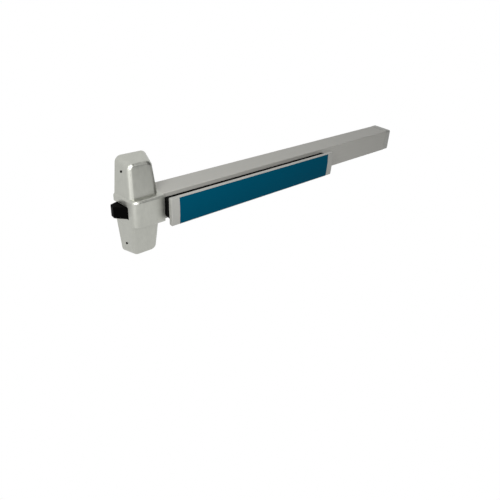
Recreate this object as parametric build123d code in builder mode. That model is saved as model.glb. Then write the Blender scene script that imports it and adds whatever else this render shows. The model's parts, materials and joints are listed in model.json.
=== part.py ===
from build123d import *
from math import cos, radians, sin, tan
import os

# Rim exit device: a cast head with a pivoted latch bolt, a long mechanism case and a push pad.
# Millimetres. X runs along the bar from the latch end, Y=0 is the door face, the room is on
# the -Y side, and Z is up. The origin is the middle of the head on the door face.
# A depth is a distance from the door face towards the room.

# Driving sizes of the bar
bar_height = 58.0
case_depth = 53.7
case_wall = 2.5
case_edge = 1.6
case_start = 20.0
case_end = 771.0
rib_thick = 1.6
rib_reach = 5.0
opening_start = 37.5
opening_end = 498.5
opening_height = 39.4
pad_start = 36.0
pad_end = 500.0
pad_height = 60.0
pad_depth = 88.7
pad_thick = 9.7
pad_skin = 2.2
pad_return = 9.0
pad_crown = 1.5
insert_lip = 0.9
insert_thick = 2.0
cap_length = 18.5
cap_wall = 2.4
cap_tongue = 8.0
cap_corner = 1.5
cap_round = 1.2
tongue_height = 6.6
tongue_inset = 3.5
pad_travel = 17.3

# Driving sizes of the head
head_rise = 105.0
head_drop = 111.0
waist_width = 82.5
tip_width = 63.0
tip_depth = 38.0
lobe_step = 8.6
head_draft = 11.3
head_corner = 13.5
head_edge = 10.0
lobe_root = 15.0
cover_wall = 3.0
arm_wall = 1.4
block_proud = 10.3
block_side_edge = 13.5
block_shoulder = 6.0
arm_end = 35.0
latch_slot_margin = 1.0
top_screw_inset = 25.5
foot_screw_inset = 31.5
cover_screw_depth = 20.0
cover_screw_reach = 1.0
cover_screw_rise = 1.1
cover_screw_hole = 4.6
screw_size = 4.0
screw_head = 7.6
screw_head_thick = 2.4
screw_taper = 25.0
cover_screw_head = 5.2
lug_size = 16.0
lug_foot = 1.5

# Driving sizes of the plates on the door
plate_thick = 3.0
fit_gap = 0.4
lap_thick = 2.0
lap_spread = 9.0
lap_margin = 5.0
lap_chassis_in = 5.0
lap_rail_in = 9.0
door_hole = 6.5
door_hole_pitch_x = 26.0
door_hole_pitch_z = 152.0
end_hole_pitch_x = 16.0
end_hole_pitch_z = 28.0
end_bracket_length = 46.0
end_bracket_width = 42.0
end_cap_length = 23.0
end_cap_proud = 0.5
end_cap_wall = 2.4
end_cap_edge = 5.0
end_screw_spread = 14.0
end_screw_depth = 26.0
end_flange_rise = 36.0

# Driving sizes of the mechanism
latch_tip_x = -53.5
latch_tip_depth = 12.0
latch_tip_width = 11.0
latch_back_depth = 7.0
latch_slope_step = 9.0
latch_height = 25.0
latch_pivot_x = -19.0
latch_pivot_cover = 13.0
latch_hub_radius = 7.0
latch_swing = 22.0
latch_notch_x = 18.0
latch_clear = 1.5
latch_heel = 8.0
latch_round = 1.2
tail_boss = 6.0
link_eye = 5.0
link_bend = 9.0
link_lap = 10.0
link_slot_radius = 9.0
link_slot_length = 30.0
link_slot_width = 28.0
link_slot_lift = 5.0
link_side = 0.5
splice_length = 26.0
splice_thick = 1.5
rod_tail = 12.0
pin_head = 1.5
pin_chamfer = 0.5
pin_play = 1.6
pin_size = 6.0
link_pin_size = 4.0
running = 0.06
link_thick = 3.0
ear_thick = 3.0
ear_gap = 0.5
ear_back = 30.0
ear_right = 10.0
ear_shoulder = 26.0
foot_left = -12.0
foot_screw_x = -3.0
rocker_swing = 25.0
rocker_pad_arm = 40.0
rocker_rod_arm = 20.0
rocker_plate = 3.0
rocker_hub = 6.0
rocker_gap = 1.0
pad_arm_half = 5.0
rod_arm_half = 4.0
bracket_width = 24.0
bracket_ear = 11.0
bracket_screw_out = 8.0
rocker_depth = 29.0
front_rocker_x = 114.0
rear_rocker_x = 424.0
rod_width = 8.0
carrier_height = 37.4
carrier_sheet = 1.8
carrier_reach = 28.0
carrier_end_reach = 45.0
lug_width = 13.0
spring_offset = 46.0
spring_spread = 9.0
spring_radius = 4.5
spring_wire = 1.2
spring_turns = 16
spring_seat = 0.2
guide_radius = 3.2
guide_foot = 14.0
guide_clear = 5.0
carrier_play = 2.4
lug_reach = 5.0
carrier_screw_before = 60.0
carrier_screw_after = 10.0
carrier_screw_spread = 9.0
latch_spring_radius = 5.4
latch_spring_wire = 1.3
latch_spring_turns = 4
cam_x = 3.0
cam_z = -50.0
cam_radius = 8.0
cam_arm = 17.0
cam_slot = 2.2
cam_slot_length = 13.0
cam_rim = 3.0
cam_arm_width = 8.0
cam_flange = 2.0
keeper_length = 38.0
keeper_height = 18.0
keeper_spread = 15.0
keeper_thick = 1.5
keeper_foot = 7.0
keeper_hole = 6.0

# Places worked out from the driving sizes
half_bar = bar_height / 2
block_depth = case_depth + block_proud
block_height = bar_height + 2 * arm_wall
waist_depth = block_depth - lobe_step
latch_pivot_depth = block_depth - latch_pivot_cover
latch_front_depth = latch_pivot_depth - latch_slope_step
cover_screw_places = (head_rise - top_screw_inset, foot_screw_inset - head_drop)
inner_bar = half_bar - case_wall
half_swing = rocker_swing / 2
rod_travel = 2 * rocker_rod_arm * sin(radians(half_swing))
draft = tan(radians(head_draft))
latch_tail = rod_travel / (2 * sin(radians(latch_swing / 2)))
tail_x = latch_pivot_x - latch_tail * sin(radians(latch_swing / 2))
tail_depth = latch_pivot_depth - latch_tail * cos(radians(latch_swing / 2))
rocker_spots = {"front": front_rocker_x, "rear": rear_rocker_x}
pad_back = pad_depth - pad_thick
skin_front = pad_depth - pad_crown - insert_thick
skin_back = skin_front - pad_skin
web_back = skin_back - carrier_sheet
insert_start = pad_start + cap_length
insert_end = pad_end - cap_length
half_pad = pad_height / 2
rod_depth = rocker_depth - rocker_rod_arm * cos(radians(half_swing))
lap_chassis_x = case_start - lap_chassis_in
lap_rail_x = case_start + lap_rail_in
bracket_foot = plate_thick + lap_thick

os.makedirs("parts", exist_ok=True)


def write(part, name):
    """Label a finished piece and write its STEP file."""
    part.label = name
    export_step(part, f"parts/{name}.step")


def half_width(z, depth=0.0, inset=0.0):
    """Half the width of the head at a height and a depth, drawn in by inset."""
    reach = head_rise if z > 0 else head_drop
    slope = (waist_width - tip_width) / 2 / reach
    return waist_width / 2 - slope * abs(z) - draft * depth - inset


def head_outline(inset):
    """Corners of the head's outline on the door, drawn in by inset."""
    top = head_rise - inset
    foot = head_drop - inset
    return [
        (half_width(0, 0, inset), 0),
        (half_width(top, 0, inset), top),
        (-half_width(top, 0, inset), top),
        (-half_width(0, 0, inset), 0),
        (-half_width(-foot, 0, inset), -foot),
        (half_width(-foot, 0, inset), -foot),
    ]


def side_plane(side, z, depth, sink=0.0):
    """Plane on a leaning side wall of the head, its normal pointing out of the head."""
    reach = head_rise if z > 0 else head_drop
    slope = (waist_width - tip_width) / 2 / reach
    out = Vector(side, -draft, slope if z > 0 else -slope).normalized()
    foot = Vector(side * half_width(z, depth), -depth, z)
    return Plane(origin=foot - out * sink, x_dir=(0, 1, 0), z_dir=out)


def lobe(end, inset):
    """One sloping lobe of the head, end 1 above and -1 below, drawn in by inset on every side."""
    reach = (head_rise if end > 0 else head_drop) - inset
    waist = half_width(0, 0, inset)
    tip = half_width(end * reach, 0, inset)
    side_slope = (waist - tip) / reach
    front_slope = (waist_depth - tip_depth) / (reach + inset)
    front_waist = waist_depth - inset
    with BuildPart() as form:
        with BuildSketch(Plane.XZ):
            with BuildLine():
                Polyline(
                    (waist + side_slope * lobe_root, -end * lobe_root),
                    (tip, end * reach),
                    (-tip, end * reach),
                    (-waist - side_slope * lobe_root, -end * lobe_root),
                    close=True,
                )
            make_face()
        extrude(amount=waist_depth + lobe_root, taper=head_draft)
        with BuildSketch(Plane.YZ):
            with BuildLine():
                Polyline(
                    (0, end * reach),
                    (-front_waist + front_slope * reach, end * reach),
                    (-front_waist - front_slope * lobe_root, -end * lobe_root),
                    (0, -end * lobe_root),
                    close=True,
                )
            make_face()
        extrude(amount=waist_width, both=True, mode=Mode.INTERSECT)
        corners = form.edges().filter_by(lambda e: abs(e.tangent_at(0.5).Y) > 0.9)
        fillet(corners.filter_by(lambda e: end * e.center().Z > lobe_root), head_corner - inset)
        front = form.faces().filter_by(lambda f: f.normal_at().Y < -0.9).sort_by(Axis.Y)[0]
        fillet(front.edges().filter_by(lambda e: end * e.center().Z > 0), head_edge - inset)
        split(bisect_by=Plane.XY, keep=Keep.TOP if end > 0 else Keep.BOTTOM)
    return form.part


def block(inset):
    """The proud middle block of the head and the arm that runs from it to the bar."""
    front = block_depth - inset
    right = arm_end - inset
    half = block_height / 2 - inset
    with BuildPart() as form:
        with BuildSketch(Plane.XY.offset(-half)):
            with BuildLine():
                Polyline(
                    (right, -front),
                    (right, 0),
                    (-half_width(0, 0, inset), 0),
                    (-half_width(0, front, inset), -front),
                    close=True,
                )
            make_face()
        extrude(amount=2 * half)
        corner = form.edges().filter_by(Axis.Z).sort_by(Axis.Y).group_by(Axis.Y)[0].sort_by(Axis.X)[0]
        fillet(corner, block_side_edge - inset)
        shoulders = form.edges().filter_by(lambda e: abs(abs(e.center().Z) - half) < 0.01)
        shoulders = shoulders.filter_by(lambda e: e.center().X < right - 0.1 and e.center().Y < -1)
        fillet(shoulders, block_shoulder - inset)
    return form.part


# Head cover: a cast shell, open to the door, with a slot for the latch bolt
with BuildPart() as head_cover:
    add(lobe(1, 0))
    add(lobe(-1, 0))
    add(block(0))
    add(lobe(1, cover_wall), mode=Mode.SUBTRACT)
    add(lobe(-1, cover_wall), mode=Mode.SUBTRACT)
    add(block(cover_wall), mode=Mode.SUBTRACT)
    with BuildSketch(Plane.YZ.offset(case_start - 1)):
        with Locations((-(case_depth + fit_gap) / 2, 0)):
            Rectangle(case_depth + fit_gap, bar_height + 2 * fit_gap)
    extrude(amount=waist_width / 2 - case_start + 2, mode=Mode.SUBTRACT)
    slot_back = -latch_slot_margin
    slot_front = latch_front_depth + 2 * latch_slot_margin
    with BuildSketch(Plane.YZ.offset(-waist_width / 2 - 1)):
        with Locations((-(slot_back + slot_front) / 2, 0)):
            Rectangle(slot_front - slot_back, latch_height + 2 * latch_slot_margin)
    extrude(amount=waist_width / 2 + 1 - latch_notch_x, mode=Mode.SUBTRACT)
    for side in (-1, 1):
        for z in cover_screw_places:
            with BuildSketch(side_plane(side, z, cover_screw_depth)):
                Circle(cover_screw_hole / 2)
            extrude(amount=-2 * cover_wall, mode=Mode.SUBTRACT)
write(head_cover.part, "head_cover")

# Chassis plate: folded steel on the door, with four lugs for the cover's screws
plate_inset = cover_wall + fit_gap
with BuildPart() as chassis_plate:
    plate_edge = plate_inset + draft * plate_thick
    with BuildSketch(Plane.XZ):
        with BuildLine():
            Polyline(*head_outline(plate_edge), close=True)
        make_face()
    extrude(amount=plate_thick)
    ends = chassis_plate.edges().filter_by(Axis.Y).filter_by(lambda e: abs(e.center().Z) > head_rise / 2)
    fillet(ends, head_corner - plate_inset)
    with BuildSketch(Plane.XZ):
        with Locations(((case_start - fit_gap + waist_width) / 2, 0)):
            Rectangle(waist_width - case_start + fit_gap, bar_height + 2 * fit_gap)
        with Locations((-waist_width / 2, 0)):
            Rectangle(2 * (waist_width / 2 - latch_notch_x), latch_height + 2 * latch_clear)
        with GridLocations(door_hole_pitch_x, door_hole_pitch_z, 2, 2):
            Circle(door_hole / 2)
        with Locations((cam_x, cam_z)):
            Circle(cam_radius + running)
        with Locations((cam_x - keeper_spread, cam_z), (cam_x + keeper_spread, cam_z)):
            Circle(screw_size / 2)
        with Locations((lap_chassis_x, -lap_spread), (lap_chassis_x, lap_spread)):
            Circle(screw_size / 2)
        with Locations((foot_screw_x, -lap_spread), (foot_screw_x, lap_spread)):
            Circle(screw_size / 2)
    extrude(amount=plate_thick, mode=Mode.SUBTRACT)
    for side in (-1, 1):
        for z in cover_screw_places:
            with BuildSketch(side_plane(side, z, cover_screw_depth, cover_wall + fit_gap)):
                with Locations(((cover_screw_depth - lug_foot - lug_size / 2) / 2, 0)):
                    Rectangle(cover_screw_depth - lug_foot + lug_size / 2, lug_size)
                Circle(screw_size / 2, mode=Mode.SUBTRACT)
            extrude(amount=-plate_thick)
write(chassis_plate.part, "chassis_plate")

# Cover screws: small domed heads on the side walls, with shanks through them into the lugs
cover_screw_length = cover_wall + fit_gap + plate_thick + cover_screw_reach
with BuildPart() as cover_screws:
    for side in (-1, 1):
        for z in cover_screw_places:
            with BuildSketch(side_plane(side, z, cover_screw_depth, cover_screw_length)):
                Circle(screw_size / 2)
            extrude(amount=cover_screw_length)
            with BuildSketch(side_plane(side, z, cover_screw_depth)):
                Circle(cover_screw_head / 2)
            extrude(amount=cover_screw_rise, taper=screw_taper)
write(cover_screws.part, "cover_screws")

# Latch bracket: a folded steel channel that carries the latch bolt's pivot pin
ear_z = latch_height / 2 + ear_gap
with BuildPart() as latch_bracket:
    for z in (-ear_z - ear_thick, ear_z):
        with BuildSketch(Plane.XY.offset(z)):
            with BuildLine():
                Polyline(
                    (-ear_back, -plate_thick),
                    (ear_right, -plate_thick),
                    (ear_right, -ear_shoulder),
                    (latch_pivot_x, -latch_pivot_depth),
                    (-half_width(0, latch_pivot_depth, cover_wall + latch_clear), -latch_pivot_depth),
                    close=True,
                )
            make_face()
            with Locations((latch_pivot_x, -latch_pivot_depth)):
                Circle(latch_hub_radius)
            with Locations((latch_pivot_x, -latch_pivot_depth)):
                Circle(pin_size / 2, mode=Mode.SUBTRACT)
        extrude(amount=ear_thick)
    with BuildSketch(Plane.XZ.offset(plate_thick)):
        with Locations(((ear_right + foot_left) / 2, 0)):
            Rectangle(ear_right - foot_left, 2 * (ear_z + ear_thick))
        with Locations((foot_screw_x, -lap_spread), (foot_screw_x, lap_spread)):
            Circle(screw_size / 2, mode=Mode.SUBTRACT)
    extrude(amount=lap_thick)
write(latch_bracket.part, "latch_bracket")

# Bracket screws through the latch bracket's foot into the chassis plate
with BuildPart() as latch_bracket_screws:
    with BuildSketch(Plane.XZ):
        with Locations((foot_screw_x, -lap_spread), (foot_screw_x, lap_spread)):
            Circle(screw_size / 2)
    extrude(amount=bracket_foot)
    with BuildSketch(Plane.XZ.offset(bracket_foot)):
        with Locations((foot_screw_x, -lap_spread), (foot_screw_x, lap_spread)):
            Circle(screw_head / 2)
    extrude(amount=screw_head_thick)
write(latch_bracket_screws.part, "latch_bracket_screws")

# Latch pivot pin, headed at its foot
spring_room = latch_spring_wire * (latch_spring_turns + 2)
with BuildPart() as latch_pivot_pin:
    foot = -ear_z - ear_thick
    with BuildSketch(Plane.XY.offset(foot - pin_head)):
        with Locations((latch_pivot_x, -latch_pivot_depth)):
            Circle(pin_size / 2 + pin_head)
    extrude(amount=pin_head)
    with BuildSketch(Plane.XY.offset(foot)):
        with Locations((latch_pivot_x, -latch_pivot_depth)):
            Circle(pin_size / 2)
    extrude(amount=2 * (ear_z + ear_thick) + spring_room)
    chamfer(latch_pivot_pin.faces().sort_by(Axis.Z)[-1].edges(), pin_chamfer)
write(latch_pivot_pin.part, "latch_pivot_pin")

# Latch spring: a torsion spring round the pivot pin, above the bracket
with BuildPart() as latch_spring:
    coil_start = ear_z + ear_thick + latch_spring_wire / 2 + spring_seat
    pitch = latch_spring_wire + spring_seat
    with BuildLine(Plane((latch_pivot_x, -latch_pivot_depth, coil_start))) as coil:
        Helix(pitch, pitch * latch_spring_turns, latch_spring_radius)
    with BuildSketch(Plane(origin=coil.line @ 0, z_dir=coil.line % 0)):
        Circle(latch_spring_wire / 2)
    sweep(path=coil.line, is_frenet=True)
write(latch_spring.part, "latch_spring")

# Latch bolt: a cast bolt with a flat back, a sloping front and a slot for the pull link
with BuildPart() as latch_bolt:
    with BuildSketch(Plane.XY.offset(-latch_height / 2)):
        with BuildLine():
            Polyline(
                (latch_tip_x, -latch_tip_depth),
                (-half_width(0, latch_back_depth), -latch_back_depth),
                (-half_width(0, latch_back_depth) + latch_heel, -latch_back_depth),
                (tail_x + tail_boss, -tail_depth + tail_boss),
                (latch_pivot_x + latch_hub_radius, -latch_pivot_depth),
                (latch_pivot_x, -latch_pivot_depth),
                (latch_pivot_x - latch_hub_radius, -latch_pivot_depth),
                (-half_width(0, latch_front_depth) + cover_wall + latch_clear, -latch_front_depth - latch_clear),
                (-half_width(0, latch_front_depth), -latch_front_depth),
                (latch_tip_x, -latch_tip_depth - latch_tip_width),
                close=True,
            )
        make_face()
        with Locations((latch_pivot_x, -latch_pivot_depth)):
            Circle(latch_hub_radius)
        with Locations((latch_pivot_x, -latch_pivot_depth)):
            Circle(pin_size / 2 + running, mode=Mode.SUBTRACT)
        with Locations((tail_x, -tail_depth)):
            Circle(link_pin_size / 2, mode=Mode.SUBTRACT)
    extrude(amount=latch_height)
    tip = latch_bolt.edges().filter_by(lambda e: e.center().X < latch_tip_x + 0.2)
    fillet(tip, latch_round)
    with BuildSketch(Plane.XY.offset(-link_thick / 2 - link_side)):
        with Locations((tail_x, -tail_depth)):
            Circle(link_slot_radius)
        with Locations((tail_x + link_slot_length / 2, -tail_depth + link_slot_lift)):
            Rectangle(link_slot_length, link_slot_width)
    extrude(amount=link_thick + 2 * link_side, mode=Mode.SUBTRACT)
write(latch_bolt.part, "latch_bolt")

# Latch link pin, pressed in the bolt's two cheeks
with BuildPart() as latch_link_pin:
    with BuildSketch(Plane.XY.offset(-latch_height / 2)):
        with Locations((tail_x, -tail_depth)):
            Circle(link_pin_size / 2)
    extrude(amount=latch_height)
write(latch_link_pin.part, "latch_link_pin")

# Pull link: a flat plate from the rod's end to the latch bolt's tail
link_joint = case_start + link_lap
with BuildPart() as pull_link:
    with BuildSketch(Plane.XY.offset(-link_thick / 2)):
        with BuildLine():
            Polyline(
                (tail_x, -tail_depth + link_eye),
                (link_bend, -rod_depth + rod_width / 2),
                (link_joint, -rod_depth + rod_width / 2),
                (link_joint, -rod_depth - rod_width / 2),
                (link_bend, -rod_depth - rod_width / 2),
                (0, -tail_depth - link_eye),
                (tail_x, -tail_depth - link_eye),
                close=True,
            )
        make_face()
        with Locations((tail_x, -tail_depth)):
            Circle(link_eye)
        with Locations((tail_x, -tail_depth)):
            SlotCenterToCenter(pin_play, link_pin_size + 2 * running, rotation=90, mode=Mode.SUBTRACT)
    extrude(amount=link_thick)
write(pull_link.part, "pull_link")

# Actuating rod: a flat steel strip from the pull link to the rear rocker
with BuildPart() as actuating_rod:
    rod_end = rear_rocker_x + rod_tail
    with BuildSketch(Plane.XY.offset(-link_thick / 2)):
        with Locations(((link_joint + rod_end) / 2, -rod_depth)):
            Rectangle(rod_end - link_joint, rod_width)
        for x in rocker_spots.values():
            with Locations((x - rocker_rod_arm * sin(radians(half_swing)), -rod_depth)):
                SlotCenterToCenter(pin_play, link_pin_size + 2 * running, rotation=90, mode=Mode.SUBTRACT)
    extrude(amount=link_thick)
write(actuating_rod.part, "actuating_rod")

# Splice plates: a riveted lap on both sides of the joint between link and rod
with BuildPart() as rod_splice:
    for z in (link_thick / 2, -link_thick / 2 - splice_thick):
        with BuildSketch(Plane.XY.offset(z)):
            with Locations((link_joint, -rod_depth)):
                Rectangle(splice_length, rod_width)
        extrude(amount=splice_thick)
write(rod_splice.part, "rod_splice")

# Rockers, their brackets and their pins, one set near each end of the pad
for name, x in rocker_spots.items():
    pad_pin_x = x - rocker_pad_arm * cos(radians(half_swing))
    pad_pin_depth = rocker_depth + rocker_pad_arm * sin(radians(half_swing))
    rod_pin_x = x - rocker_rod_arm * sin(radians(half_swing))
    plate_z = link_thick / 2 + rocker_gap
    bracket_z = plate_z + rocker_plate + 2 * rocker_gap
    pin_reach = plate_z + rocker_plate
    bracket_screw_z = bracket_z + bracket_screw_out

    with BuildPart() as rocker:
        for z in (plate_z, -plate_z - rocker_plate):
            with BuildSketch(Plane.XY.offset(z)):
                with BuildLine():
                    Polyline((x, -rocker_depth), (pad_pin_x, -pad_pin_depth))
                    offset(amount=pad_arm_half, kind=Kind.ARC)
                make_face()
                with BuildLine():
                    Polyline((x, -rocker_depth), (rod_pin_x, -rod_depth))
                    offset(amount=rod_arm_half, kind=Kind.ARC)
                make_face()
            extrude(amount=rocker_plate)
        with BuildSketch(Plane.XY.offset(-pin_reach)):
            with Locations((x, -rocker_depth)):
                Circle(rocker_hub)
        extrude(amount=2 * pin_reach)
        with BuildSketch(Plane.XY.offset(-pin_reach)):
            with Locations((x, -rocker_depth)):
                Circle(pin_size / 2 + running)
            with Locations((pad_pin_x, -pad_pin_depth), (rod_pin_x, -rod_depth)):
                Circle(link_pin_size / 2)
        extrude(amount=2 * pin_reach, mode=Mode.SUBTRACT)
    write(rocker.part, f"{name}_rocker")

    with BuildPart() as rocker_pins:
        with BuildSketch(Plane.XY.offset(-pin_reach)):
            with Locations((pad_pin_x, -pad_pin_depth), (rod_pin_x, -rod_depth)):
                Circle(link_pin_size / 2)
        extrude(amount=2 * pin_reach)
    write(rocker_pins.part, f"{name}_rocker_pins")

    with BuildPart() as bracket:
        for z in (bracket_z, -bracket_z - lap_thick):
            with BuildSketch(Plane.XY.offset(z)):
                with Locations((x, -(plate_thick + rocker_depth) / 2)):
                    Rectangle(bracket_width, rocker_depth - plate_thick)
                with Locations((x, -rocker_depth)):
                    Circle(bracket_width / 2)
                with Locations((x, -rocker_depth)):
                    Circle(pin_size / 2, mode=Mode.SUBTRACT)
            extrude(amount=lap_thick)
        with BuildSketch(Plane.XZ.offset(plate_thick)):
            with Locations((x, 0)):
                Rectangle(bracket_width, 2 * (bracket_z + lap_thick + bracket_ear))
            with Locations((x, bracket_screw_z), (x, -bracket_screw_z)):
                Circle(screw_size / 2, mode=Mode.SUBTRACT)
        extrude(amount=lap_thick)
    write(bracket.part, f"{name}_bracket")

    with BuildPart() as pivot_pin:
        with BuildSketch(Plane.XY.offset(-bracket_z - lap_thick)):
            with Locations((x, -rocker_depth)):
                Circle(pin_size / 2)
        extrude(amount=2 * (bracket_z + lap_thick))
    write(pivot_pin.part, f"{name}_pivot_pin")

    with BuildPart() as bracket_screws:
        with BuildSketch(Plane.XZ):
            with Locations((x, bracket_screw_z), (x, -bracket_screw_z)):
                Circle(screw_size / 2)
        extrude(amount=bracket_foot)
        with BuildSketch(Plane.XZ.offset(bracket_foot)):
            with Locations((x, bracket_screw_z), (x, -bracket_screw_z)):
                Circle(screw_head / 2)
        extrude(amount=screw_head_thick)
    write(bracket_screws.part, f"{name}_bracket_screws")

    spring_x = x + spring_offset
    spring_places = ((spring_x, spring_spread), (spring_x, -spring_spread))
    with BuildPart() as spring_guides:
        guide_tip = web_back - pad_travel - guide_clear
        with BuildSketch(Plane.XZ.offset(plate_thick)):
            with Locations((spring_x, 0)):
                RectangleRounded(guide_foot, 2 * spring_spread + guide_foot, guide_radius)
        extrude(amount=lap_thick)
        with BuildSketch(Plane.XZ.offset(bracket_foot)):
            with Locations(*spring_places):
                Circle(guide_radius)
        extrude(amount=guide_tip - bracket_foot)
        chamfer(spring_guides.faces().sort_by(Axis.Y)[:2].edges(), guide_radius / 3)
    write(spring_guides.part, f"{name}_spring_guides")

    with BuildPart() as pad_springs:
        coil_length = web_back - bracket_foot - spring_wire - 2 * spring_seat
        for coil_x, coil_z in spring_places:
            coil_foot = (coil_x, -bracket_foot - spring_wire / 2 - spring_seat, coil_z)
            coil = Helix(coil_length / spring_turns, coil_length, spring_radius, center=coil_foot,
                         direction=(0, -1, 0), mode=Mode.PRIVATE)
            with BuildSketch(Plane(origin=coil @ 0, z_dir=coil % 0)):
                Circle(spring_wire / 2)
            sweep(path=coil, is_frenet=True)
    write(pad_springs.part, f"{name}_pad_springs")

# Base rail: the flat steel strip on the door that slides into the case's ribs
with BuildPart() as base_rail:
    with BuildSketch(Plane.XZ):
        with Locations(((case_start + case_end) / 2, 0)):
            Rectangle(case_end - case_start, 2 * (inner_bar - fit_gap / 2))
        for x in rocker_spots.values():
            with Locations((x, bracket_screw_z), (x, -bracket_screw_z)):
                Circle(screw_size / 2, mode=Mode.SUBTRACT)
        with Locations((lap_rail_x, -lap_spread), (lap_rail_x, lap_spread)):
            Circle(screw_size / 2, mode=Mode.SUBTRACT)
        with Locations((case_end - end_bracket_length / 2, 0)):
            with GridLocations(end_hole_pitch_x, end_hole_pitch_z, 2, 2):
                Circle(door_hole / 2, mode=Mode.SUBTRACT)
    extrude(amount=plate_thick)
write(base_rail.part, "base_rail")

# Lap plate, which joins the base rail to the chassis plate
with BuildPart() as lap_plate:
    with BuildSketch(Plane.XZ.offset(plate_thick)):
        with Locations(((lap_rail_x + lap_chassis_x) / 2, 0)):
            Rectangle(lap_rail_x - lap_chassis_x + 2 * lap_margin, 2 * (lap_spread + lap_margin))
        for z in (-lap_spread, lap_spread):
            with Locations((lap_rail_x, z), (lap_chassis_x, z)):
                Circle(screw_size / 2, mode=Mode.SUBTRACT)
    extrude(amount=lap_thick)
write(lap_plate.part, "lap_plate")

# Mechanism case: an aluminium channel with ribs for the base rail, its front milled open behind the pad
with BuildPart() as mechanism_case:
    with BuildSketch(Plane.YZ.offset(case_start)):
        with Locations((-case_depth / 2, 0)):
            Rectangle(case_depth, bar_height)
        with Locations((-(case_depth - case_wall) / 2, 0)):
            Rectangle(case_depth - case_wall, 2 * inner_bar, mode=Mode.SUBTRACT)
        for side in (-1, 1):
            with Locations((-plate_thick - rib_thick / 2, side * (inner_bar - rib_reach / 2))):
                Rectangle(rib_thick, rib_reach)
    extrude(amount=case_end - case_start)
    front_edges = mechanism_case.edges().filter_by(Axis.X)
    front_edges = front_edges.filter_by(lambda e: e.center().Y < -case_depth + 0.1 and abs(e.center().Z) > half_bar - 0.1)
    fillet(front_edges, case_edge)
    with BuildSketch(Plane.XZ.offset(case_depth - case_wall - 1)):
        with Locations(((opening_start + opening_end) / 2, 0)):
            Rectangle(opening_end - opening_start, opening_height)
    extrude(amount=case_wall + 2, mode=Mode.SUBTRACT)
write(mechanism_case.part, "mechanism_case")

# Lap plate screws, two in the chassis plate and two in the base rail
with BuildPart() as lap_screws:
    places = [(x, z) for x in (lap_rail_x, lap_chassis_x) for z in (-lap_spread, lap_spread)]
    with BuildSketch(Plane.XZ):
        with Locations(*places):
            Circle(screw_size / 2)
    extrude(amount=bracket_foot)
    with BuildSketch(Plane.XZ.offset(bracket_foot)):
        with Locations(*places):
            Circle(screw_head / 2)
    extrude(amount=screw_head_thick)
write(lap_screws.part, "lap_screws")

# End bracket: a folded plate on the base rail whose flange holds the end cap
flange_x = case_end + end_cap_length - end_cap_wall
with BuildPart() as end_bracket:
    bracket_start = case_end - end_bracket_length
    with BuildSketch(Plane.XZ.offset(plate_thick)):
        with Locations(((bracket_start + flange_x) / 2, 0)):
            Rectangle(flange_x - bracket_start, end_bracket_width)
        with Locations((case_end - end_bracket_length / 2, 0)):
            with GridLocations(end_hole_pitch_x, end_hole_pitch_z, 2, 2):
                Circle(door_hole / 2, mode=Mode.SUBTRACT)
    extrude(amount=lap_thick)
    with BuildSketch(Plane.YZ.offset(flange_x - lap_thick)):
        with Locations((-(plate_thick + end_flange_rise) / 2, 0)):
            Rectangle(end_flange_rise - plate_thick, end_bracket_width)
        with Locations((-end_screw_depth, -end_screw_spread), (-end_screw_depth, end_screw_spread)):
            Circle(screw_size / 2, mode=Mode.SUBTRACT)
    extrude(amount=lap_thick)
write(end_bracket.part, "end_bracket")

# End cap: a cast cover that closes the case at the hinge end
with BuildPart() as end_cap:
    with BuildSketch(Plane.YZ.offset(case_end)):
        with Locations((-(case_depth + end_cap_proud) / 2, 0)):
            Rectangle(case_depth + end_cap_proud, bar_height + 2 * end_cap_proud)
    extrude(amount=end_cap_length)
    rounded = end_cap.edges().filter_by(lambda e: e.center().X > case_end + 1 and e.center().Y < -1)
    fillet(rounded, end_cap_edge)
    with BuildSketch(Plane.YZ.offset(case_end)):
        with Locations((-(case_depth + end_cap_proud - end_cap_wall) / 2, 0)):
            Rectangle(case_depth + end_cap_proud - end_cap_wall, bar_height + 2 * end_cap_proud - 2 * end_cap_wall)
    extrude(amount=end_cap_length - end_cap_wall, mode=Mode.SUBTRACT)
    with BuildSketch(Plane.YZ.offset(flange_x)):
        with Locations((-end_screw_depth, -end_screw_spread), (-end_screw_depth, end_screw_spread)):
            Circle(cover_screw_hole / 2)
    extrude(amount=end_cap_wall, mode=Mode.SUBTRACT)
write(end_cap.part, "end_cap")

# End cap screws
with BuildPart() as end_cap_screws:
    places = ((-end_screw_depth, -end_screw_spread), (-end_screw_depth, end_screw_spread))
    with BuildSketch(Plane.YZ.offset(flange_x - lap_thick - 1)):
        with Locations(*places):
            Circle(screw_size / 2)
    extrude(amount=lap_thick + 1 + end_cap_wall)
    with BuildSketch(Plane.YZ.offset(case_end + end_cap_length)):
        with Locations(*places):
            Circle(screw_head / 2)
    extrude(amount=screw_head_thick / 2, taper=screw_taper)
write(end_cap_screws.part, "end_cap_screws")

# Push pad: an aluminium extrusion with a pocket for the insert and returns at its back
with BuildPart() as push_pad:
    with BuildSketch(Plane.YZ.offset(insert_start)):
        with BuildLine():
            Polyline(
                (-skin_front, half_pad - insert_lip),
                (-pad_depth + pad_crown, half_pad - insert_lip),
                (-pad_depth + pad_crown, half_pad),
                (-pad_back, half_pad),
                (-pad_back, half_pad - pad_return),
                (-pad_back - pad_skin, half_pad - pad_return),
                (-pad_back - pad_skin, half_pad - pad_skin),
                (-skin_back, half_pad - pad_skin),
                (-skin_back, -half_pad + pad_skin),
                (-pad_back - pad_skin, -half_pad + pad_skin),
                (-pad_back - pad_skin, -half_pad + pad_return),
                (-pad_back, -half_pad + pad_return),
                (-pad_back, -half_pad),
                (-pad_depth + pad_crown, -half_pad),
                (-pad_depth + pad_crown, -half_pad + insert_lip),
                (-skin_front, -half_pad + insert_lip),
                close=True,
            )
        make_face()
    extrude(amount=insert_end - insert_start)
write(push_pad.part, "push_pad")

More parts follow.
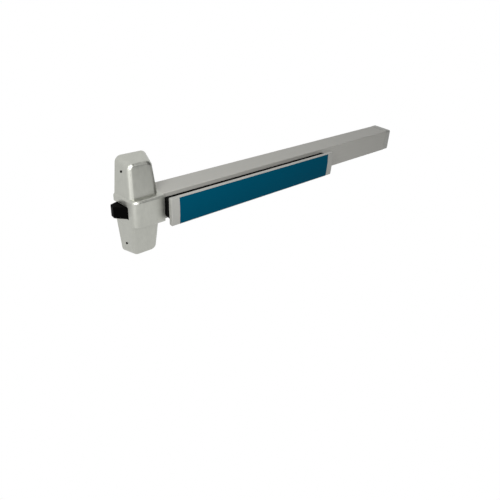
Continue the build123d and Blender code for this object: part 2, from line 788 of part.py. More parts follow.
# Pad insert: a coloured plastic strip with a crowned face
with BuildPart() as pad_insert:
    with BuildSketch(Plane.YZ.offset(insert_start)):
        edge_z = half_pad - insert_lip
        with BuildLine():
            Polyline((-pad_depth + pad_crown, edge_z), (-skin_front, edge_z), (-skin_front, -edge_z),
                     (-pad_depth + pad_crown, -edge_z))
            ThreePointArc((-pad_depth + pad_crown, -edge_z), (-pad_depth, 0), (-pad_depth + pad_crown, edge_z))
        make_face()
    extrude(amount=insert_end - insert_start)
write(pad_insert.part, "pad_insert")

# Pad end caps: castings that close the pad's ends and reach into it with two tongues each
for name, x, way in (("left", pad_start, 1), ("right", pad_end, -1)):
    with BuildPart() as pad_cap:
        with BuildSketch(Plane.YZ.offset(x)):
            with BuildLine():
                Polyline((-pad_depth + pad_crown, half_pad), (-pad_back, half_pad), (-pad_back, -half_pad),
                         (-pad_depth + pad_crown, -half_pad))
                ThreePointArc((-pad_depth + pad_crown, -half_pad), (-pad_depth, 0), (-pad_depth + pad_crown, half_pad))
            make_face()
        extrude(amount=way * cap_length)
        outer_x = x
        corners = pad_cap.edges().filter_by(Axis.Y).filter_by(lambda e: abs(e.center().X - outer_x) < 0.1)
        fillet(corners, cap_corner)
        rim = pad_cap.edges().filter_by(lambda e: e.center().Y < -pad_depth + pad_crown + 0.3)
        rim = rim.filter_by(lambda e: abs(e.center().X - outer_x - way * cap_length) > 0.5)
        fillet(rim, cap_round)
        with BuildSketch(Plane.YZ.offset(x + way * cap_wall)):
            with Locations((-(pad_back + skin_back) / 2, 0)):
                Rectangle(skin_back - pad_back, pad_height - 2 * cap_wall)
        extrude(amount=way * cap_length, mode=Mode.SUBTRACT)
        with BuildSketch(Plane.YZ.offset(x + way * (cap_length - cap_tongue))):
            for side in (-1, 1):
                with Locations((-(pad_back + pad_skin + skin_back) / 2, side * (half_pad - pad_skin - tongue_inset))):
                    Rectangle(skin_back - pad_back - pad_skin, tongue_height)
        extrude(amount=way * 2 * cap_tongue)
    write(pad_cap.part, f"pad_cap_{name}")

# Pad carrier: a black folded channel behind the pad with a lug for each rocker
with BuildPart() as pad_carrier:
    carrier_start = pad_start + cap_wall
    carrier_end = pad_end - cap_wall
    half_carrier = carrier_height / 2
    with BuildSketch(Plane.YZ.offset(carrier_start)):
        with BuildLine():
            Polyline(
                (-skin_back, half_carrier),
                (-carrier_reach, half_carrier),
                (-carrier_reach, half_carrier - carrier_sheet),
                (-web_back, half_carrier - carrier_sheet),
                (-web_back, -half_carrier + carrier_sheet),
                (-carrier_reach, -half_carrier + carrier_sheet),
                (-carrier_reach, -half_carrier),
                (-skin_back, -half_carrier),
                close=True,
            )
        make_face()
    extrude(amount=carrier_end - carrier_start)
    for wall_x in (carrier_start, carrier_end - carrier_sheet):
        with BuildSketch(Plane.YZ.offset(wall_x)):
            with Locations((-(web_back + carrier_end_reach) / 2, 0)):
                Rectangle(web_back - carrier_end_reach, carrier_height - 2 * carrier_sheet)
        extrude(amount=carrier_sheet)
    with BuildSketch(Plane.XY.offset(-link_thick / 2)):
        for x in rocker_spots.values():
            pin_x = x - rocker_pad_arm * cos(radians(half_swing))
            pin_depth = rocker_depth + rocker_pad_arm * sin(radians(half_swing))
            lug_tip = pin_depth - lug_reach
            with Locations((pin_x, -(web_back + lug_tip) / 2)):
                Rectangle(lug_width, web_back - lug_tip)
            with Locations((pin_x, -pin_depth)):
                SlotCenterToCenter(carrier_play, link_pin_size + 2 * running, mode=Mode.SUBTRACT)
    extrude(amount=link_thick)
write(pad_carrier.part, "pad_carrier")

# Carrier screws, from the carrier's web into the pad's skin
with BuildPart() as carrier_screws:
    screw_rows = [x + step for x in rocker_spots.values() for step in (-carrier_screw_before, carrier_screw_after)]
    places = [(x, z) for x in screw_rows for z in (-carrier_screw_spread, carrier_screw_spread)]
    with BuildSketch(Plane.XZ.offset(web_back - screw_head_thick)):
        with Locations(*places):
            Circle(screw_head / 2)
    extrude(amount=screw_head_thick)
write(carrier_screws.part, "carrier_screws")

# Trim cam: the slotted hub behind the lower lobe, turned by an outside trim or cylinder
with BuildPart() as trim_cam:
    with BuildSketch(Plane.XZ):
        with Locations((cam_x, cam_z)):
            Circle(cam_radius)
    extrude(amount=plate_thick + cam_flange)
    with BuildSketch(Plane.XZ.offset(plate_thick + running)):
        with Locations((cam_x, cam_z)):
            Circle(cam_radius + cam_rim)
        with Locations((cam_x, cam_z + cam_arm / 2)):
            Rectangle(cam_arm_width, cam_arm)
        with Locations((cam_x, cam_z + cam_arm)):
            Circle(cam_arm_width / 2)
    extrude(amount=cam_flange)
    with BuildSketch(Plane.XZ):
        with Locations((cam_x, cam_z)):
            Rectangle(cam_slot, cam_slot_length)
    extrude(amount=plate_thick + cam_flange + 1, mode=Mode.SUBTRACT)
write(trim_cam.part, "trim_cam")

# Cam keeper: a steel bridge that holds the cam against the chassis plate
with BuildPart() as cam_keeper:
    keeper_depth = plate_thick + cam_flange + 2 * running
    keeper_end = (keeper_length - keeper_foot) / 2
    with BuildSketch(Plane.XZ.offset(keeper_depth)):
        with Locations((cam_x, cam_z)):
            Rectangle(keeper_length, keeper_height)
            Circle(keeper_hole, mode=Mode.SUBTRACT)
        with Locations((cam_x - keeper_spread, cam_z), (cam_x + keeper_spread, cam_z)):
            Circle(screw_size / 2, mode=Mode.SUBTRACT)
    extrude(amount=keeper_thick)
    with BuildSketch(Plane.XZ.offset(plate_thick)):
        with Locations((cam_x - keeper_end, cam_z), (cam_x + keeper_end, cam_z)):
            Rectangle(keeper_foot, keeper_height)
        with Locations((cam_x - keeper_spread, cam_z), (cam_x + keeper_spread, cam_z)):
            Circle(screw_size / 2, mode=Mode.SUBTRACT)
    extrude(amount=cam_flange + 2 * running)
write(cam_keeper.part, "cam_keeper")

# Keeper screws
with BuildPart() as keeper_screws:
    with BuildSketch(Plane.XZ):
        with Locations((cam_x - keeper_spread, cam_z), (cam_x + keeper_spread, cam_z)):
            Circle(screw_size / 2)
    extrude(amount=keeper_depth + keeper_thick)
    with BuildSketch(Plane.XZ.offset(keeper_depth + keeper_thick)):
        with Locations((cam_x - keeper_spread, cam_z), (cam_x + keeper_spread, cam_z)):
            Circle(screw_head / 2)
    extrude(amount=screw_head_thick)
write(keeper_screws.part, "keeper_screws")
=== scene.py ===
import bmesh
import bpy
import json
import math
from mathutils import Matrix, Vector

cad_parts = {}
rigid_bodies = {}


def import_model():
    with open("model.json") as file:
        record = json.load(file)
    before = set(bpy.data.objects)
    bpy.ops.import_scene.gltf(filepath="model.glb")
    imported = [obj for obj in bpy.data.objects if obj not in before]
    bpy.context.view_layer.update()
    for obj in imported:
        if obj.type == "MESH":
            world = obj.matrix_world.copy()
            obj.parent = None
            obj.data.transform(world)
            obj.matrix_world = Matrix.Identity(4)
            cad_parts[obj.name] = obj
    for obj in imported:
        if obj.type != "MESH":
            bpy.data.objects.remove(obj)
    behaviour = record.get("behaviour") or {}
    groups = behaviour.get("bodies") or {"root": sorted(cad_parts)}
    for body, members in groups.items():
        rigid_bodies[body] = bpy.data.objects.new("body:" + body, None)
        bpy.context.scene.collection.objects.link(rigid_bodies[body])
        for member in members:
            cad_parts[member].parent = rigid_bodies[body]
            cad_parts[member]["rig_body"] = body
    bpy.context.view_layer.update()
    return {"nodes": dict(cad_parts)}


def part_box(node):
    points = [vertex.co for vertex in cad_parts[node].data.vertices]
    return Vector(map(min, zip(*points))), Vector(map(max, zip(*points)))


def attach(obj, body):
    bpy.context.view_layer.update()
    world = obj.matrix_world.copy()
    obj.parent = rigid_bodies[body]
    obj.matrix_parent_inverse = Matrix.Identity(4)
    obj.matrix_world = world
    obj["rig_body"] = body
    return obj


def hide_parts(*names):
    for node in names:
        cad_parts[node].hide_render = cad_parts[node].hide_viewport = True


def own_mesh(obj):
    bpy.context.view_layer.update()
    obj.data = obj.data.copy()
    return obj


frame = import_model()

# Door-side plates: the chassis plate under the head, the base rail under the case and the small
# plates that join them. They are pressed sheet steel, zinc plated, and screw to the door face.
PLATES = ("chassis_plate", "base_rail", "lap_plate", "end_bracket", "cam_keeper", "latch_bracket",
          "front_bracket", "rear_bracket")
ZINC = (0.47, 0.48, 0.49)
LINE_DETAIL = 3.0
CLOUD_DETAIL = 4.0
NOISE_MIDDLE = 0.5
BUMP_STRENGTH = 0.5


def satin_grain():
    """Shader group: fine lines along one direction, mixed with soft clouds, that vary colour and gloss."""
    tree = bpy.data.node_groups.new("Satin Grain", "ShaderNodeTree")
    for title, kind in (("Colour", "Color"), ("Shade Spread", "Float"), ("Roughness", "Float"),
                        ("Gloss Spread", "Float"), ("Line Scale", "Vector"), ("Cloud Scale", "Float"),
                        ("Cloud Share", "Float")):
        tree.interface.new_socket(title, in_out="INPUT", socket_type=f"NodeSocket{kind}")
    for title, kind in (("Colour", "Color"), ("Roughness", "Float"), ("Height", "Float")):
        tree.interface.new_socket(title, in_out="OUTPUT", socket_type=f"NodeSocket{kind}")
    nodes, links = tree.nodes, tree.links
    given = nodes.new("NodeGroupInput")
    result = nodes.new("NodeGroupOutput")
    place = nodes.new("ShaderNodeTexCoord")
    stretch = nodes.new("ShaderNodeMapping")
    links.new(place.outputs["Object"], stretch.inputs["Vector"])
    links.new(given.outputs["Line Scale"], stretch.inputs["Scale"])
    lines = nodes.new("ShaderNodeTexNoise")
    lines.inputs["Scale"].default_value = 1.0
    lines.inputs["Detail"].default_value = LINE_DETAIL
    links.new(stretch.outputs["Vector"], lines.inputs["Vector"])
    cloud = nodes.new("ShaderNodeTexNoise")
    cloud.inputs["Detail"].default_value = CLOUD_DETAIL
    links.new(given.outputs["Cloud Scale"], cloud.inputs["Scale"])
    links.new(place.outputs["Object"], cloud.inputs["Vector"])
    both = nodes.new("ShaderNodeMix")
    links.new(given.outputs["Cloud Share"], both.inputs["Factor"])
    links.new(lines.outputs["Fac"], both.inputs["A"])
    links.new(cloud.outputs["Fac"], both.inputs["B"])

    def spread(socket):
        """The mixed noise, centred on zero and scaled by one of the group's spreads."""
        centred = nodes.new("ShaderNodeMath")
        centred.operation = "SUBTRACT"
        centred.inputs[1].default_value = NOISE_MIDDLE
        links.new(both.outputs["Result"], centred.inputs[0])
        scaled = nodes.new("ShaderNodeMath")
        scaled.operation = "MULTIPLY"
        links.new(centred.outputs["Value"], scaled.inputs[0])
        links.new(given.outputs[socket], scaled.inputs[1])
        return scaled

    shade = nodes.new("ShaderNodeMath")
    shade.operation = "ADD"
    shade.inputs[1].default_value = 1.0
    links.new(spread("Shade Spread").outputs["Value"], shade.inputs[0])
    tinted = nodes.new("ShaderNodeVectorMath")
    tinted.operation = "SCALE"
    links.new(given.outputs["Colour"], tinted.inputs["Vector"])
    links.new(shade.outputs["Value"], tinted.inputs["Scale"])
    links.new(tinted.outputs["Vector"], result.inputs["Colour"])
    gloss = nodes.new("ShaderNodeMath")
    gloss.operation = "ADD"
    links.new(spread("Gloss Spread").outputs["Value"], gloss.inputs[0])
    links.new(given.outputs["Roughness"], gloss.inputs[1])
    links.new(gloss.outputs["Value"], result.inputs["Roughness"])
    links.new(lines.outputs["Fac"], result.inputs["Height"])
    return tree


grain = satin_grain()


def finish(name, colour, roughness, metallic=1.0, shade=0.12, gloss=0.2, scale=(60, 900, 900),
           relief=0.000015, cloud=22.0, cloud_share=0.35, specular=0.5):
    """A material whose colour, gloss and fine relief, in metres, come from the satin grain."""
    material = bpy.data.materials.new(name)
    material.use_nodes = True
    nodes, links = material.node_tree.nodes, material.node_tree.links
    shader = nodes["Principled BSDF"]
    shader.inputs["Metallic"].default_value = metallic
    shader.inputs["Specular IOR Level"].default_value = specular
    lines = nodes.new("ShaderNodeGroup")
    lines.node_tree = grain
    lines.inputs["Colour"].default_value = (*colour, 1)
    lines.inputs["Shade Spread"].default_value = shade
    lines.inputs["Roughness"].default_value = roughness
    lines.inputs["Gloss Spread"].default_value = gloss
    lines.inputs["Line Scale"].default_value = scale
    lines.inputs["Cloud Scale"].default_value = cloud
    lines.inputs["Cloud Share"].default_value = cloud_share
    links.new(lines.outputs["Colour"], shader.inputs["Base Color"])
    links.new(lines.outputs["Roughness"], shader.inputs["Roughness"])
    bump = nodes.new("ShaderNodeBump")
    bump.inputs["Strength"].default_value = BUMP_STRENGTH
    bump.inputs["Distance"].default_value = relief
    links.new(lines.outputs["Height"], bump.inputs["Height"])
    links.new(bump.outputs["Normal"], shader.inputs["Normal"])
    return material


def paint(nodes, material):
    """Gives CAD nodes their material."""
    for name in nodes:
        mesh = frame["nodes"][name].data
        mesh.materials.clear()
        mesh.materials.append(material)


paint(PLATES, finish("Zinc Plated Steel", ZINC, roughness=0.42))

# Linkage: the flat rod, its splice plates, the pull link and the two rockers, stamped from bare
# steel strip, and the cam that an outside trim turns.
LINKAGE = ("actuating_rod", "rod_splice", "pull_link", "front_rocker", "rear_rocker", "trim_cam")
BARE_STEEL = (0.4, 0.4, 0.41)
paint(LINKAGE, finish("Strip Steel", BARE_STEEL, roughness=0.38, scale=(40, 1200, 300)))

# Pins: ground steel pins that the bolt, the link and the levers turn on. Each is pressed in one of
# the two pieces that it joins.
PINS = ("latch_pivot_pin", "latch_link_pin", "front_pivot_pin", "rear_pivot_pin", "front_rocker_pins",
        "rear_rocker_pins")
PIN_STEEL = (0.55, 0.55, 0.56)
paint(PINS, finish("Ground Pin Steel", PIN_STEEL, roughness=0.25, scale=(600, 600, 60)))

# Springs: coils of bright wire. One turns the latch bolt home, and two pairs stand on the base rail and push
# the pad out. On the device those four shorten toward the door as the pad goes in; the copies here keep one
# length.
WIRE_STEEL = (0.42, 0.42, 0.43)
SPRING_FOOT = (0.0, -0.005, 0.0)
SPRING_CREASE = 40.0
MERGE_DISTANCE = 2e-6
SLIVER = 1e-6
spring_wire = finish("Spring Wire", WIRE_STEEL, roughness=0.3, scale=(500, 500, 500))
paint(("latch_spring",), spring_wire)


def dressed(name, node, material, crease=30.0):
    """A copy of a CAD node with one joined skin, smooth across its round edges, that replaces it."""
    mesh = frame["nodes"][node].data.copy()
    form = bmesh.new()
    form.from_mesh(mesh)
    bmesh.ops.remove_doubles(form, verts=form.verts, dist=MERGE_DISTANCE)
    bmesh.ops.dissolve_degenerate(form, edges=form.edges, dist=SLIVER)
    for face in form.faces:
        face.smooth = True
    for edge in form.edges:
        edge.smooth = edge.calc_face_angle(0) < math.radians(crease)
    form.to_mesh(mesh)
    form.free()
    mesh.materials.clear()
    mesh.materials.append(material)
    piece = bpy.data.objects.new(name, mesh)
    bpy.context.scene.collection.objects.link(piece)
    even = piece.modifiers.new("Even Shading", "WEIGHTED_NORMAL")
    even.keep_sharp = True
    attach(piece, frame["nodes"][node]["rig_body"])
    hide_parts(node)
    return piece


for name, node in (("front_pad_coils", "front_pad_springs"), ("rear_pad_coils", "rear_pad_springs")):
    coils = dressed(name, node, spring_wire, SPRING_CREASE)
    length = SPRING_FOOT[1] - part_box(node)[0][1]
    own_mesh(coils)

# Spring guides: black nylon bosses on the base rail that the pad springs slip over, so that they
# stand straight.
GUIDES = ("front_spring_guides", "rear_spring_guides")
NYLON_BLACK = (0.03, 0.03, 0.032)
paint(GUIDES, finish("Black Nylon", NYLON_BLACK, roughness=0.55, metallic=0.0, scale=(400, 400, 400)))

# Latch bolt: a cast hook of steel with a black oxide finish, whose sloping face rides over the
# strike. It turns on its pin inside the head.
# The same black also goes on the cover screws, as painted shade for the recesses that they sit in.
OXIDE_BLACK_AND_RECESS_SHADE = (0.001, 0.001, 0.001)
black_oxide_and_recess_shade = finish("Black Oxide And Recess Shade", OXIDE_BLACK_AND_RECESS_SHADE, roughness=0.45, metallic=0.0, shade=0.4,
                     scale=(300, 300, 300), specular=0.015)
dressed("bolt_casting", "latch_bolt", black_oxide_and_recess_shade)

# Head cover: a die casting with a sloping lobe above and below a proud middle block. It is brushed
# up and down, and four screws in its side walls hold it to the chassis plate.
CASTING_SILVER = (0.45, 0.455, 0.415)
satin_silver = finish("Satin Silver Casting", CASTING_SILVER, roughness=0.37, metallic=0.92, shade=0.34,
                      gloss=0.25, scale=(320, 320, 60), relief=0.00008, cloud=75.0, cloud_share=0.5)
dressed("head_casting", "head_cover", satin_silver)

# Mechanism case: an aluminium channel extrusion with a satin anodised face, drawn lengthwise. It
# slides over the base rail and into the head's arm.
ANODISED_SILVER = (0.42, 0.415, 0.385)
anodised = finish("Satin Anodised", ANODISED_SILVER, roughness=0.5, metallic=0.15, shade=0.22, gloss=0.15,
                  scale=(10, 420, 420))
dressed("case_channel", "mechanism_case", anodised)

# End cap: a cast cap over the hinge end of the case, with soft edges. Two screws hold it to the end
# bracket.
CAP_SILVER = (0.38, 0.38, 0.355)
cap_silver = finish("Cast End Silver", CAP_SILVER, roughness=0.45, metallic=0.2, shade=0.18,
                    scale=(300, 300, 300), cloud=90.0)
dressed("end_casting", "end_cap", cap_silver)

# Push pad: a black carrier behind, an aluminium extrusion over it, a glossy coloured strip let into
# its face, and a casting at each end.
PAINT_BLACK = (0.004, 0.004, 0.004)
STRIP_BLUE = (0.0, 0.066, 0.118)
painted_black = finish("Black Paint", PAINT_BLACK, roughness=0.5, metallic=0.0, shade=0.3,
                       scale=(250, 250, 250), specular=0.03)
dressed("carrier_channel", "pad_carrier", painted_black)
dressed("pad_extrusion", "push_pad", anodised)
for side in ("left", "right"):
    dressed(f"pad_end_{side}", f"pad_cap_{side}", cap_silver)
blue_gloss = finish("Blue Strip", STRIP_BLUE, roughness=0.3, metallic=0.0, shade=0.05, gloss=0.05,
                    scale=(200, 200, 200), relief=0.000005, specular=0.01)
dressed("blue_strip", "pad_insert", blue_gloss)

# Screws: steel pan heads with a cross recess, zinc plated, each turned home to its own angle. Those in the
# head's side walls are black as painted shade for their recesses. Places, axes and sizes are read off the
# CAD screws.
SCREWS = ("cover_screws", "keeper_screws", "lap_screws", "end_cap_screws", "carrier_screws",
          "front_bracket_screws", "rear_bracket_screws", "latch_bracket_screws")
SCREW_ZINC = (0.5, 0.5, 0.5)
HEAD_SIDES = 40
SHANK_SIDES = 24
RECESS_SHARE = 0.62
RECESS_WIDTH = 0.0009
RECESS_DEPTH = 0.0008
TURN_SEED = 7
FULL_TURN_INPUT = 3
TURN_OUTPUT = 1
SAME = 1e-5
NORMAL_DIGITS = 2
RADIUS_DIGITS = 5


def cross_screws():
    """Geometry tree: a pan head with a cross recess and a plain shank on every point."""
    tree = bpy.data.node_groups.new("Cross Screws", "GeometryNodeTree")
    sockets = tree.interface
    sockets.new_socket("Places", in_out="INPUT", socket_type="NodeSocketGeometry")
    for title in ("Head Radius", "Top Radius", "Head Height", "Shank Radius", "Shank Length", "Recess Reach",
                  "Recess Width", "Recess Depth"):
        sockets.new_socket(title, in_out="INPUT", socket_type="NodeSocketFloat")
    sockets.new_socket("Turn Seed", in_out="INPUT", socket_type="NodeSocketInt")
    sockets.new_socket("Finish", in_out="INPUT", socket_type="NodeSocketMaterial")
    sockets.new_socket("Screws", in_out="OUTPUT", socket_type="NodeSocketGeometry")
    nodes, links = tree.nodes, tree.links
    given = nodes.new("NodeGroupInput")
    head = nodes.new("GeometryNodeMeshCone")
    head.inputs["Vertices"].default_value = HEAD_SIDES
    links.new(given.outputs["Head Radius"], head.inputs["Radius Bottom"])
    links.new(given.outputs["Top Radius"], head.inputs["Radius Top"])
    links.new(given.outputs["Head Height"], head.inputs["Depth"])
    shank = nodes.new("GeometryNodeMeshCone")
    shank.inputs["Vertices"].default_value = SHANK_SIDES
    links.new(given.outputs["Shank Radius"], shank.inputs["Radius Bottom"])
    links.new(given.outputs["Shank Radius"], shank.inputs["Radius Top"])
    links.new(given.outputs["Shank Length"], shank.inputs["Depth"])
    drop = nodes.new("ShaderNodeVectorMath")
    drop.operation = "MULTIPLY"
    drop.inputs[1].default_value = (0, 0, -1)
    links.new(given.outputs["Shank Length"], drop.inputs[0])
    sunk = nodes.new("GeometryNodeTransform")
    links.new(shank.outputs["Mesh"], sunk.inputs["Geometry"])
    links.new(drop.outputs["Vector"], sunk.inputs["Translation"])
    top = nodes.new("ShaderNodeCombineXYZ")
    links.new(given.outputs["Head Height"], top.inputs["Z"])
    cut = nodes.new("GeometryNodeMeshBoolean")
    cut.operation = "DIFFERENCE"
    links.new(head.outputs["Mesh"], cut.inputs["Mesh 1"])
    deep = nodes.new("ShaderNodeMath")
    deep.operation = "MULTIPLY"
    deep.inputs[1].default_value = 2.0
    links.new(given.outputs["Recess Depth"], deep.inputs[0])
    for long_side, short_side in (("X", "Y"), ("Y", "X")):
        size = nodes.new("ShaderNodeCombineXYZ")
        links.new(given.outputs["Recess Reach"], size.inputs[long_side])
        links.new(given.outputs["Recess Width"], size.inputs[short_side])
        links.new(deep.outputs["Value"], size.inputs["Z"])
        bar = nodes.new("GeometryNodeMeshCube")
        links.new(size.outputs["Vector"], bar.inputs["Size"])
        lifted = nodes.new("GeometryNodeTransform")
        links.new(bar.outputs["Mesh"], lifted.inputs["Geometry"])
        links.new(top.outputs["Vector"], lifted.inputs["Translation"])
        links.new(lifted.outputs["Geometry"], cut.inputs["Mesh 2"])
    whole = nodes.new("GeometryNodeJoinGeometry")
    links.new(cut.outputs["Mesh"], whole.inputs["Geometry"])
    links.new(sunk.outputs["Geometry"], whole.inputs["Geometry"])
    axis = nodes.new("GeometryNodeInputNamedAttribute")
    axis.data_type = "FLOAT_VECTOR"
    axis.inputs["Name"].default_value = "axis"
    aim = nodes.new("FunctionNodeAlignRotationToVector")
    aim.axis = "Z"
    links.new(axis.outputs["Attribute"], aim.inputs["Vector"])
    turn = nodes.new("FunctionNodeRandomValue")
    turn.data_type = "FLOAT"
    turn.inputs[FULL_TURN_INPUT].default_value = math.pi / 2
    links.new(given.outputs["Turn Seed"], turn.inputs["Seed"])
    spin = nodes.new("ShaderNodeCombineXYZ")
    links.new(turn.outputs[TURN_OUTPUT], spin.inputs["Z"])
    spun = nodes.new("FunctionNodeEulerToRotation")
    links.new(spin.outputs["Vector"], spun.inputs["Euler"])
    turned = nodes.new("FunctionNodeRotateRotation")
    turned.rotation_space = "LOCAL"
    links.new(aim.outputs["Rotation"], turned.inputs["Rotation"])
    links.new(spun.outputs["Rotation"], turned.inputs["Rotate By"])
    spread = nodes.new("GeometryNodeInstanceOnPoints")
    links.new(given.outputs["Places"], spread.inputs["Points"])
    links.new(whole.outputs["Geometry"], spread.inputs["Instance"])
    links.new(turned.outputs["Rotation"], spread.inputs["Rotation"])
    real = nodes.new("GeometryNodeRealizeInstances")
    links.new(spread.outputs["Instances"], real.inputs["Geometry"])
    plated = nodes.new("GeometryNodeSetMaterial")
    links.new(real.outputs["Geometry"], plated.inputs["Geometry"])
    links.new(given.outputs["Finish"], plated.inputs["Material"])
    result = nodes.new("NodeGroupOutput")
    links.new(plated.outputs["Geometry"], result.inputs["Screws"])
    return tree


def islands(form):
    """The separate screws in a mesh, each as a list of its vertices, always in the same order."""
    waiting = set(form.verts)
    for first in form.verts:
        if first not in waiting:
            continue
        waiting.discard(first)
        island = [first]
        for vert in island:
            for edge in vert.link_edges:
                near = edge.other_vert(vert)
                if near in waiting:
                    waiting.discard(near)
                    island.append(near)
        yield island


def sized(island, axis):
    """The place and sizes of a screw whose head points along an axis."""
    heights = {vert: vert.co.dot(axis) for vert in island}
    low, high = min(heights.values()), max(heights.values())
    end = [vert.co for vert in island if heights[vert] < low + SAME]
    centre = sum(end, Vector()) / len(end)
    away = {vert: (vert.co - centre - axis * (heights[vert] - low)).length for vert in island}
    widest = max(away.values())
    under = min(heights[vert] for vert in island if away[vert] > widest - SAME)
    sizes = {
        "Head Radius": widest,
        "Top Radius": max(away[vert] for vert in island if heights[vert] > high - SAME),
        "Head Height": high - under,
        "Shank Radius": max((point - centre).length for point in end),
        "Shank Length": under - low,
    }
    return centre + axis * (under - low), sizes


def measured(node):
    """The place and axis of each screw in a CAD node, and the sizes that they share."""
    form = bmesh.new()
    form.from_mesh(frame["nodes"][node].data)
    bmesh.ops.remove_doubles(form, verts=form.verts, dist=MERGE_DISTANCE)
    places, axes = [], []
    for island in islands(form):
        areas = {}
        for face in dict.fromkeys(face for vert in island for face in vert.link_faces):
            way = tuple(round(part, NORMAL_DIGITS) for part in face.normal)
            total, normal = areas.get(way, (0.0, face.normal.copy()))
            areas[way] = (total + face.calc_area(), normal)
        flat = max(areas.values(), key=lambda item: item[0])[1]
        axis = min((flat, -flat), key=lambda way: (
            round(sized(island, way)[1]["Shank Radius"], RADIUS_DIGITS), -way.y))
        place, sizes = sized(island, axis)
        places.append(place)
        axes.append(axis)
    form.free()
    return places, axes, sizes


zinc_screw = finish("Zinc Plated Screw", SCREW_ZINC, roughness=0.3, scale=(400, 400, 400))
plating = {node: (zinc_screw, "screw_steel") for node in SCREWS}
# The cover screws are drawn black: painted shade that stands in for the dark of their recesses.
plating["cover_screws"] = (black_oxide_and_recess_shade, "bolt_black")
screw_maker = cross_screws()
socket_of = {
    item.name: item.identifier for item in screw_maker.interface.items_tree if item.in_out == "INPUT"
}
for node in SCREWS:
    places, axes, sizes = measured(node)
    points = bpy.data.meshes.new(f"{node}_places")
    points.from_pydata([tuple(place) for place in places], [], [])
    aims = points.attributes.new("axis", "FLOAT_VECTOR", "POINT")
    for row, axis in zip(aims.data, axes):
        row.vector = axis
    holder = bpy.data.objects.new(f"{node}_places", points)
    bpy.context.scene.collection.objects.link(holder)
    maker = holder.modifiers.new("Cross Screws", "NODES")
    maker.node_group = screw_maker
    sizes["Recess Reach"] = 2 * sizes["Top Radius"] * RECESS_SHARE
    sizes["Recess Width"] = RECESS_WIDTH
    sizes["Recess Depth"] = RECESS_DEPTH
    sizes["Turn Seed"] = TURN_SEED
    sizes["Finish"], slot = plating[node]
    for title, value in sizes.items():
        maker[socket_of[title]] = value
    made = holder.evaluated_get(bpy.context.evaluated_depsgraph_get())
    mesh = bpy.data.meshes.new_from_object(made)
    holder.modifiers.remove(maker)
    bpy.data.objects.remove(holder)
    screws = bpy.data.objects.new(f"{node}_made", mesh)
    bpy.context.scene.collection.objects.link(screws)
    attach(screws, frame["nodes"][node]["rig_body"])
    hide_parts(node)

# Floor: pale and plain, as far below the bar as it is on a door. It shows white in the picture and in
# reflections.
FLOOR_DROP = 1.0
FLOOR_SIZE = 12.0
FLOOR_PALE = (0.9, 0.9, 0.9, 1)
FLOOR_ROUGHNESS = 0.9
WHITE_GLOW = 1.0


def seen_ray(nodes, links):
    """A socket that is 1 for camera, mirror and see-through rays, and 0 for the light on the device."""
    rays = nodes.new("ShaderNodeLightPath")
    seen = rays.outputs["Is Camera Ray"]
    for kind in ("Is Glossy Ray", "Is Transmission Ray"):
        either = nodes.new("ShaderNodeMath")
        either.operation = "MAXIMUM"
        links.new(seen, either.inputs[0])
        links.new(rays.outputs[kind], either.inputs[1])
        seen = either.outputs["Value"]
    return seen


floor_mesh = bpy.data.meshes.new("floor")
half = FLOOR_SIZE / 2
floor_mesh.from_pydata(
    [(x, y, -FLOOR_DROP) for x, y in ((-half, -half), (half, -half), (half, half), (-half, half))],
    [], [(0, 1, 2, 3)])
floor = bpy.data.objects.new("floor", floor_mesh)
bpy.context.scene.collection.objects.link(floor)
pale = bpy.data.materials.new("Pale Floor")
pale.use_nodes = True
nodes, links = pale.node_tree.nodes, pale.node_tree.links
nodes["Principled BSDF"].inputs["Base Color"].default_value = FLOOR_PALE
nodes["Principled BSDF"].inputs["Roughness"].default_value = FLOOR_ROUGHNESS
glow = nodes.new("ShaderNodeEmission")
glow.inputs["Strength"].default_value = WHITE_GLOW
lit = nodes.new("ShaderNodeMixShader")
links.new(seen_ray(nodes, links), lit.inputs["Fac"])
links.new(nodes["Principled BSDF"].outputs["BSDF"], lit.inputs[1])
links.new(glow.outputs["Emission"], lit.inputs[2])
links.new(lit.outputs["Shader"], nodes["Material Output"].inputs["Surface"])
floor_mesh.materials.append(pale)

# Studio: a pale room, a broad soft lamp from above, in front and to the left, and a weak one further
# to the left.
ROOM_WHITE = (1, 1, 1, 1)
ROOM_LIGHT = 0.24
HEAD_MIDDLE = (0, 0, 0)
world = bpy.data.worlds.new("Studio")
bpy.context.scene.world = world
world.use_nodes = True
nodes, links = world.node_tree.nodes, world.node_tree.links
level = nodes.new("ShaderNodeMapRange")
level.inputs["To Min"].default_value = ROOM_LIGHT
level.inputs["To Max"].default_value = WHITE_GLOW
links.new(seen_ray(nodes, links), level.inputs["Value"])
links.new(level.outputs["Result"], nodes["Background"].inputs["Strength"])
nodes["Background"].inputs["Color"].default_value = ROOM_WHITE


def soft_lamp(name, place, target, size, power):
    """A broad rectangular lamp at a place, aimed at a target."""
    lamp = bpy.data.lights.new(name, "AREA")
    lamp.shape = "RECTANGLE"
    lamp.size, lamp.size_y = size
    lamp.energy = power
    holder = bpy.data.objects.new(name, lamp)
    bpy.context.scene.collection.objects.link(holder)
    holder.location = place
    holder.rotation_euler = (Vector(target) - Vector(place)).to_track_quat("-Z", "Y").to_euler()


soft_lamp("key_lamp", place=(-0.36, -0.68, 0.63), target=HEAD_MIDDLE, size=(0.95, 0.95), power=13.2)
soft_lamp("left_lamp", place=(-1.2, -0.6, 0.0), target=HEAD_MIDDLE, size=(0.9, 1.3), power=2.3)

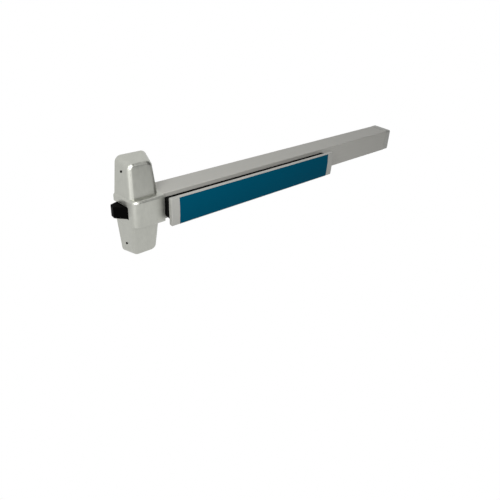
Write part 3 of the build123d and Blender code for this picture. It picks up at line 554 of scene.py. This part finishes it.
# Dark card: stands in front of the device and to its right, unseen, so that the metal has a dark side
# of the room to reflect. It takes no light from the device.
CARD_RIGHT = (1.9, 0.0)
CARD_LEFT = (0.35, -2.0)
CARD_FOOT = -0.1
CARD_TOP = 4.0
CARD_DARK = (0.03, 0.03, 0.03, 1)
CARD_ROUGHNESS = 1.0
card_mesh = bpy.data.meshes.new("dark_card")
card_mesh.from_pydata(
    [(*CARD_RIGHT, CARD_FOOT), (*CARD_LEFT, CARD_FOOT), (*CARD_LEFT, CARD_TOP), (*CARD_RIGHT, CARD_TOP)],
    [], [(0, 1, 2, 3)])
card = bpy.data.objects.new("dark_card", card_mesh)
bpy.context.scene.collection.objects.link(card)
card.visible_camera = False
card.visible_diffuse = False
card.visible_shadow = False
card_black = bpy.data.materials.new("Card Black")
card_black.use_nodes = True
shader = card_black.node_tree.nodes["Principled BSDF"]
shader.inputs["Base Color"].default_value = CARD_DARK
shader.inputs["Roughness"].default_value = CARD_ROUGHNESS
card_mesh.materials.append(card_black)

# Camera: about a metre from the bar, above it and to the head's side, looking along it. Angles are in
# degrees, and the focal length and the picture's centre in pixels of the square picture.
AZIMUTH, ELEVATION, ROLL = -41.99, 25.27, 3.76
DISTANCE = 1.04886
LOOK = Vector((0.29367, -0.06908, -0.01027))
FOCAL_PIXELS = 450.46
CENTRE_PIXELS = (265.81, 183.43)
IMAGE_PIXELS = 500
SENSOR_WIDTH = 36.0
NEAREST = 0.01
around, above, roll = math.radians(AZIMUTH), math.radians(ELEVATION), math.radians(ROLL)
back = Vector((math.sin(around) * math.cos(above), -math.cos(around) * math.cos(above), math.sin(above)))
right = (-back).cross(Vector((0, 0, 1))).normalized()
up = right.cross(-back)
across = right * math.cos(roll) + up * math.sin(roll)
upright = up * math.cos(roll) - right * math.sin(roll)
lens = bpy.data.cameras.new("camera")
camera = bpy.data.objects.new("camera", lens)
bpy.context.scene.collection.objects.link(camera)
stance = Matrix((across, upright, back)).transposed().to_4x4()
camera.matrix_world = Matrix.Translation(LOOK + back * DISTANCE) @ stance
lens.sensor_width = SENSOR_WIDTH
lens.lens = FOCAL_PIXELS * SENSOR_WIDTH / IMAGE_PIXELS
lens.shift_x = (IMAGE_PIXELS / 2 - CENTRE_PIXELS[0]) / IMAGE_PIXELS
lens.shift_y = (CENTRE_PIXELS[1] - IMAGE_PIXELS / 2) / IMAGE_PIXELS
lens.clip_start = NEAREST
bpy.context.scene.camera = camera
bpy.context.scene.view_settings.view_transform = "Standard"
